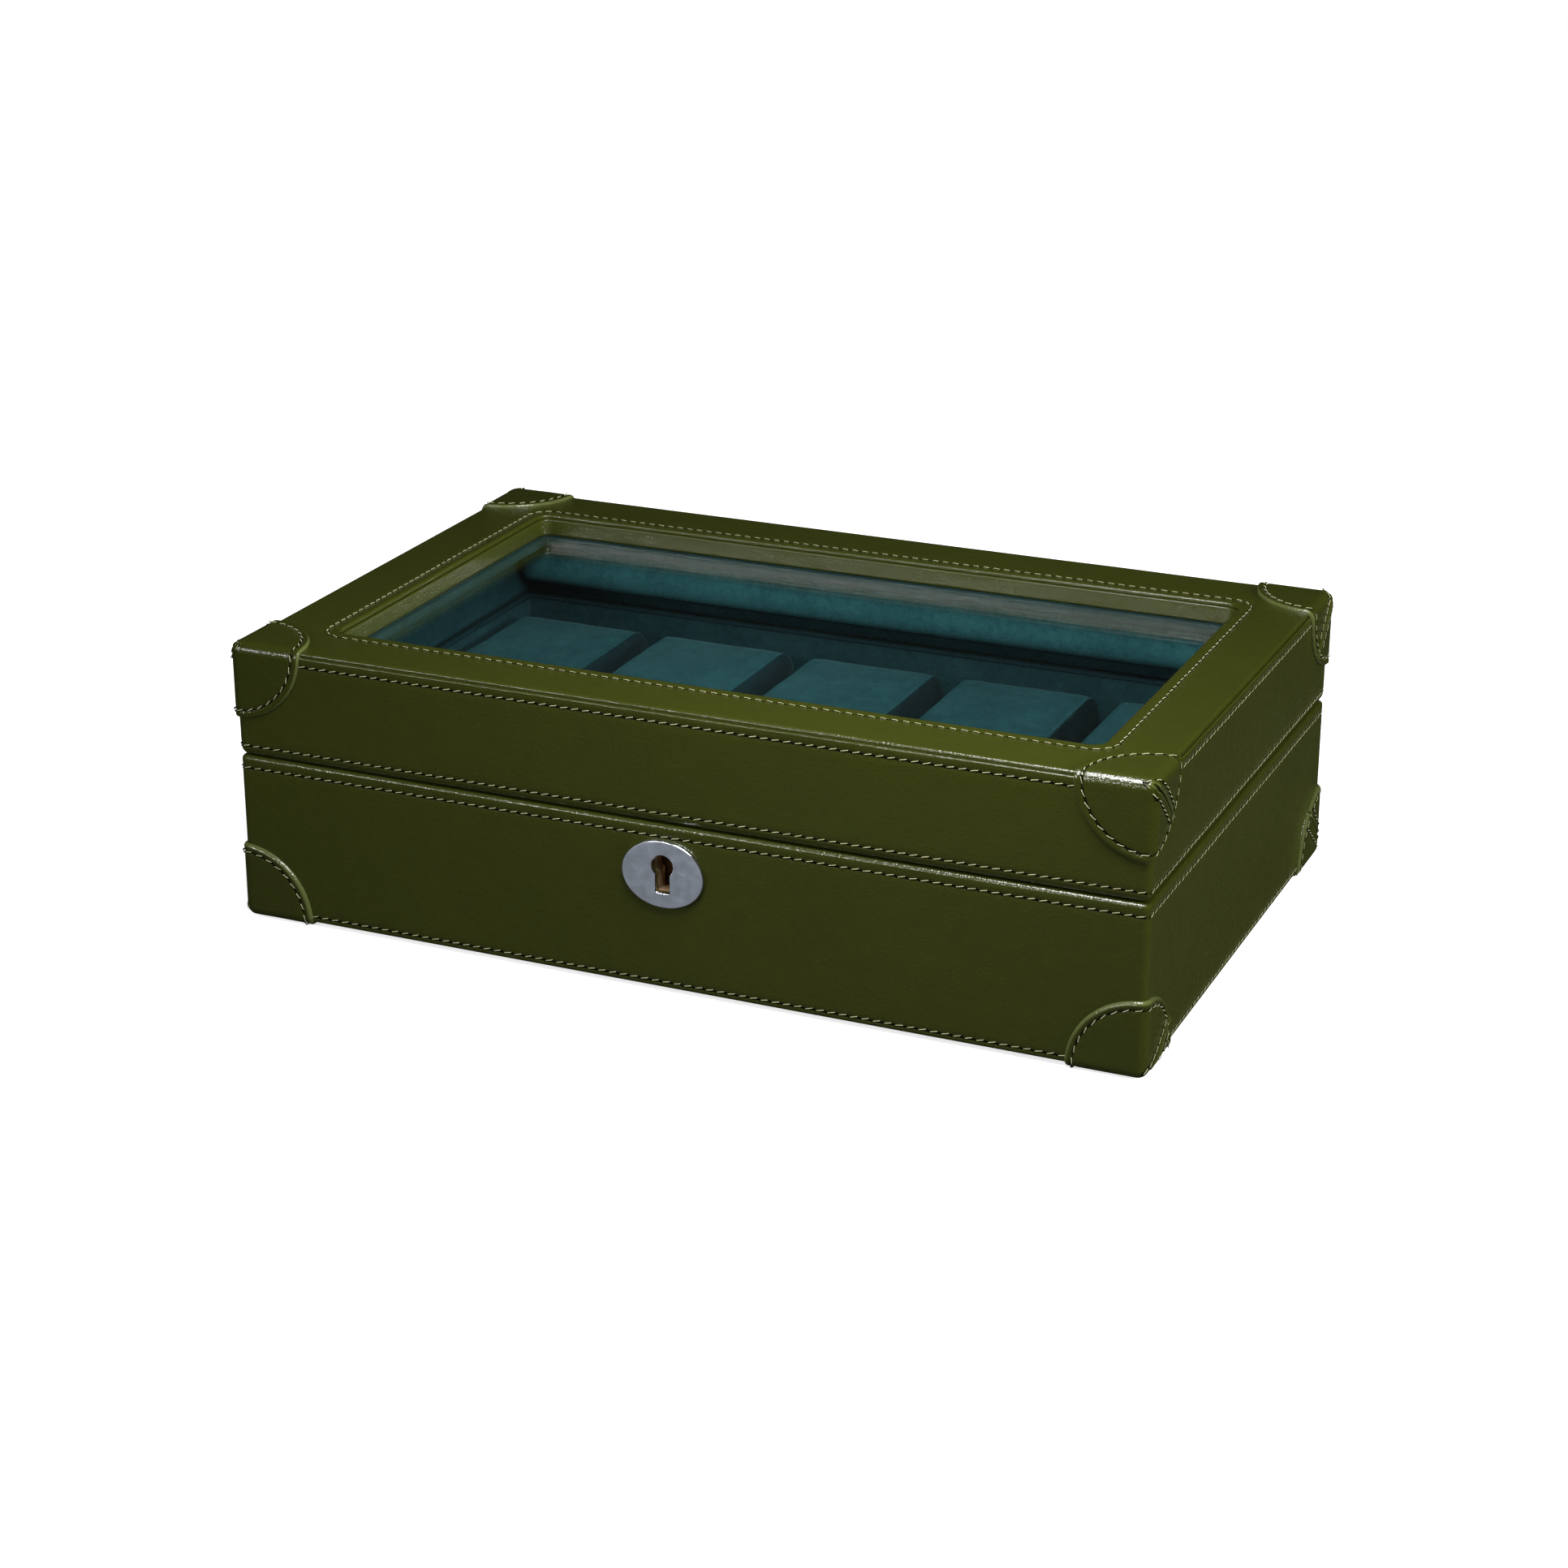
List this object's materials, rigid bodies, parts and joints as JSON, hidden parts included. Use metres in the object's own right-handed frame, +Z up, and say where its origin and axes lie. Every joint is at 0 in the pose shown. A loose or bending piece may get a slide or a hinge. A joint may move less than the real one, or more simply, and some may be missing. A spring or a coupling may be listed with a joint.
{
  "type": "watch box",
  "caption": "Leather-covered watch box with a deep hinged lid, a sunken glass window, corner guards, a keyhole plate and suede cushions inside.",
  "frame": {"origin": "on the table plane under the middle of the leather-covered walls, at the undersides of the bottom guards", "axes": "+X along the length to the right, +Y from the front with the keyhole to the hinges, +Z up"},
  "size_m": [0.3324, 0.212, 0.1021],
  "materials": {
    "leather": "olive green leather with a fine grain, satin",
    "guard_leather": "the same leather, smoother and glossier at the edges",
    "board": "brown fibreboard, matt",
    "lining": "teal suede, short nap",
    "cushion_suede": "teal suede, short nap",
    "bottom_cloth": "teal cloth, matt",
    "glass": "clear, polished",
    "steel": "satin face with polished edges",
    "brass": "satin brass"
  },
  "bodies": {
    "base": {"base_carcass": "board", "base_leather": "leather", "base_lining": "lining", "bottom_cloth": "bottom_cloth", "long_divider": "lining", "cross_divider_1": "lining", "cross_divider_2": "lining", "cross_divider_3": "lining", "cross_divider_4": "lining", "bottom_guard_front_left": "guard_leather", "bottom_guard_front_right": "guard_leather", "bottom_guard_back_left": "guard_leather", "bottom_guard_back_right": "guard_leather", "escutcheon": "steel", "lock_case": "brass", "lock_cap": "brass", "lock_plate": "brass", "lock_screws": "brass", "base_hinge_leaf_left": "brass", "base_hinge_leaf_right": "brass", "hinge_pin_left": "brass", "hinge_pin_right": "brass", "base_hinge_screws": "brass"},
    "lid": {"lid_carcass": "board", "lid_side_leather": "leather", "lid_top_board": "board", "lid_top_leather": "leather", "jamb_leather": "leather", "glass_pane": "glass", "glass_retainer": "lining", "lid_lining": "lining", "lid_roll": "lining", "top_guard_front_left": "guard_leather", "top_guard_front_right": "guard_leather", "top_guard_back_left": "guard_leather", "top_guard_back_right": "guard_leather", "strike_plate": "brass", "strike_screws": "brass", "lid_hinge_leaf_left": "brass", "lid_hinge_leaf_right": "brass", "lid_hinge_screws": "brass"},
    "bolt": {"lock_bolt": "brass"},
    "pillow_1": {"cushion_1": "cushion_suede"},
    "pillow_2": {"cushion_2": "cushion_suede"},
    "pillow_3": {"cushion_3": "cushion_suede"},
    "pillow_4": {"cushion_4": "cushion_suede"},
    "pillow_5": {"cushion_5": "cushion_suede"},
    "pillow_6": {"cushion_6": "cushion_suede"},
    "pillow_7": {"cushion_7": "cushion_suede"},
    "pillow_8": {"cushion_8": "cushion_suede"},
    "pillow_9": {"cushion_9": "cushion_suede"},
    "pillow_10": {"cushion_10": "cushion_suede"}
  },
  "joints": [
    {"name": "lid_hinge", "type": "hinge", "parent": "base", "child": "lid", "pos_m": [0, 0.1054, 0.0606], "axis": [-1, 0, 0], "range_deg": [0, 100]},
    {"name": "lock_bolt_slide", "type": "slide", "parent": "base", "child": "bolt", "axis": [-1, 0, 0], "range_m": [0, 0.0045]},
    {"name": "cushion_1_lift", "type": "slide", "parent": "base", "child": "pillow_1", "axis": [0, 0, 1], "range_m": [0, 0.028]},
    {"name": "cushion_2_lift", "type": "slide", "parent": "base", "child": "pillow_2", "axis": [0, 0, 1], "range_m": [0, 0.028]},
    {"name": "cushion_3_lift", "type": "slide", "parent": "base", "child": "pillow_3", "axis": [0, 0, 1], "range_m": [0, 0.028]},
    {"name": "cushion_4_lift", "type": "slide", "parent": "base", "child": "pillow_4", "axis": [0, 0, 1], "range_m": [0, 0.028]},
    {"name": "cushion_5_lift", "type": "slide", "parent": "base", "child": "pillow_5", "axis": [0, 0, 1], "range_m": [0, 0.028]},
    {"name": "cushion_6_lift", "type": "slide", "parent": "base", "child": "pillow_6", "axis": [0, 0, 1], "range_m": [0, 0.01]},
    {"name": "cushion_7_lift", "type": "slide", "parent": "base", "child": "pillow_7", "axis": [0, 0, 1], "range_m": [0, 0.01]},
    {"name": "cushion_8_lift", "type": "slide", "parent": "base", "child": "pillow_8", "axis": [0, 0, 1], "range_m": [0, 0.01]},
    {"name": "cushion_9_lift", "type": "slide", "parent": "base", "child": "pillow_9", "axis": [0, 0, 1], "range_m": [0, 0.01]},
    {"name": "cushion_10_lift", "type": "slide", "parent": "base", "child": "pillow_10", "axis": [0, 0, 1], "range_m": [0, 0.01]}
  ]
}
